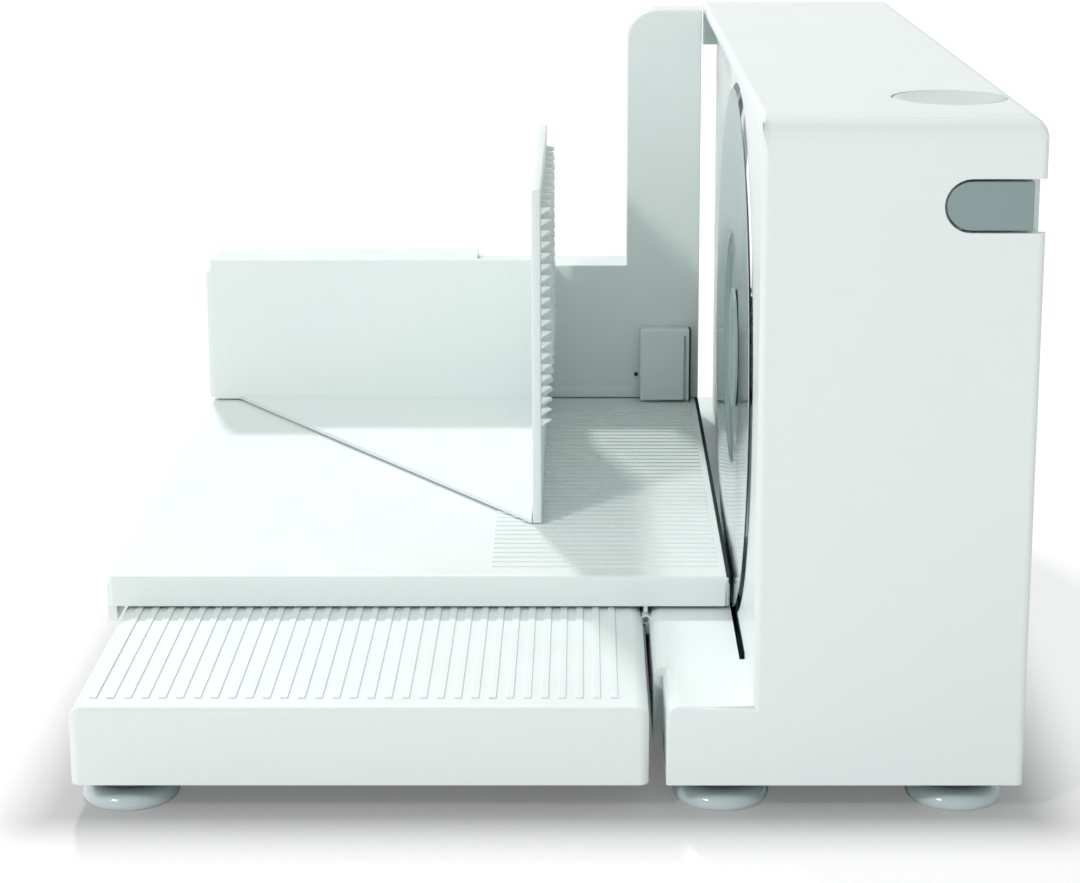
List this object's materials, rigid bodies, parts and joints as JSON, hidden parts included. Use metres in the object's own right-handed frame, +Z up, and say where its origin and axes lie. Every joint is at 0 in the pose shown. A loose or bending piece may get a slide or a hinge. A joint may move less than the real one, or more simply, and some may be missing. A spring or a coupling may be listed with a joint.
{
  "type": "folding food slicer",
  "caption": "Folding electric food slicer with a round blade beside a sliding ribbed food carriage, a toothed food holder, a slice thickness stop and a folding ribbed base on suction feet.",
  "frame": {"origin": "middle of the footprint, on the surface that the suction feet stand on", "axes": "+Z up, +Y from the near end face to the knob end, +X from the food table to the motor housing"},
  "size_m": [0.289, 0.3854, 0.208],
  "materials": {
    "white_plastic": "satin",
    "table_plastic": "satin, fine ribs",
    "grey_plastic": "matt",
    "button_plastic": "satin",
    "blade_steel": "satin ground",
    "shaft_steel": "turned",
    "can_steel": "plated",
    "brass": "satin",
    "copper": "enamelled",
    "gear_plastic": "moulded",
    "black_plastic": "moulded",
    "foot_rubber": "glossy soft"
  },
  "bodies": {
    "main_body": {"body_shell": "white_plastic", "side_cover": "white_plastic", "post_cover": "white_plastic", "bottom_plate": "grey_plastic", "hinge_pin_near": "shaft_steel", "hinge_pin_far": "shaft_steel", "foot_inner_near": "foot_rubber", "foot_inner_far": "foot_rubber", "foot_outer_near": "foot_rubber", "foot_outer_far": "foot_rubber", "cord_gland": "grey_plastic", "spindle_bush": "brass", "motor_can": "can_steel", "magnet_left": "black_plastic", "magnet_right": "black_plastic", "end_plate": "black_plastic", "brush_near": "brass", "brush_far": "brass", "motor_bracket": "grey_plastic", "top_bearing": "grey_plastic", "switch_shelf": "grey_plastic", "button_spring": "shaft_steel", "button_switch": "black_plastic", "paddle_switch": "black_plastic", "rack_guide": "grey_plastic"},
    "left_base": {"left_panel": "table_plastic", "foot_left_near": "foot_rubber", "foot_left_far": "foot_rubber"},
    "runner": {"guide_shoe": "grey_plastic"},
    "carriage": {"carriage_table": "table_plastic", "carriage_wall": "white_plastic", "catch_block": "white_plastic"},
    "food_holder": {"holder_frame": "table_plastic", "tooth_plate": "table_plastic"},
    "blade": {"blade_disc": "blade_steel", "blade_carrier": "shaft_steel", "worm_wheel": "gear_plastic", "spindle_clip": "shaft_steel"},
    "blade_lock": {"centre_lock": "grey_plastic"},
    "motor_rotor": {"worm_shaft": "shaft_steel", "armature": "can_steel", "winding_low": "copper", "winding_high": "copper", "commutator": "copper", "fan": "gear_plastic"},
    "thickness_stop": {"stop_plate": "table_plastic", "thickness_rack": "gear_plastic"},
    "thickness_dial": {"knob_pinion": "gear_plastic", "thickness_knob": "button_plastic"},
    "lock_button": {"top_button": "button_plastic"},
    "power_paddle": {"switch_paddle": "grey_plastic"}
  },
  "joints": [
    {"name": "base_fold", "type": "hinge", "parent": "main_body", "child": "left_base", "pos_m": [0.034, -0.00865, 0.0308], "axis": [0, 1, 0], "range_deg": [0, 90]},
    {"name": "carriage_slide", "type": "slide", "parent": "main_body", "child": "runner", "axis": [0, -1, 0], "range_m": [0, 0.205]},
    {"name": "carriage_lift", "type": "slide", "parent": "runner", "child": "carriage", "axis": [0, 0, 1], "range_m": [0, 0.3]},
    {"name": "holder_slide", "type": "slide", "parent": "carriage", "child": "food_holder", "axis": [1, 0, 0], "range_m": [0, 0.0375]},
    {"name": "motor_turn", "type": "hinge", "parent": "main_body", "child": "motor_rotor", "pos_m": [0.10105, -0.11265, 0.1168], "axis": [0, 0, 1], "continuous": true},
    {"name": "blade_turn", "type": "hinge", "parent": "main_body", "child": "blade", "pos_m": [0.06345, -0.08165, 0.1168], "axis": [1, 0, 0], "continuous": true},
    {"name": "lock_turn", "type": "hinge", "parent": "blade", "child": "blade_lock", "pos_m": [0.06345, -0.08165, 0.1168], "axis": [1, 0, 0], "range_deg": [0, 90]},
    {"name": "knob_turn", "type": "hinge", "parent": "main_body", "child": "thickness_dial", "pos_m": [0.11555, 0.17535, 0.16], "axis": [0, -1, 0], "range_deg": [-94, 152]},
    {"name": "stop_slide", "type": "slide", "parent": "main_body", "child": "thickness_stop", "axis": [1, 0, 0], "range_m": [-0.0065, 0.0105]},
    {"name": "button_push", "type": "slide", "parent": "main_body", "child": "lock_button", "axis": [0, 0, -1], "range_m": [0, 0.0032], "stiffness_N_per_m": 400, "springref_m": -0.002, "deforming": ["button_spring"]},
    {"name": "paddle_rock", "type": "hinge", "parent": "main_body", "child": "power_paddle", "pos_m": [0.11945, -0.1896, 0.1756], "axis": [0, 0, 1], "range_deg": [0, 8], "stiffness_Nm_per_rad": 0.2, "springref_deg": -5.73}
  ],
  "couplings": [
    {"joint": "base_fold", "follows": "carriage_lift", "rad_per_m": 5.2359},
    {"joint": "blade_turn", "follows": "motor_turn", "ratio": 0.025},
    {"joint": "knob_turn", "follows": "stop_slide", "rad_per_m": 250}
  ]
}
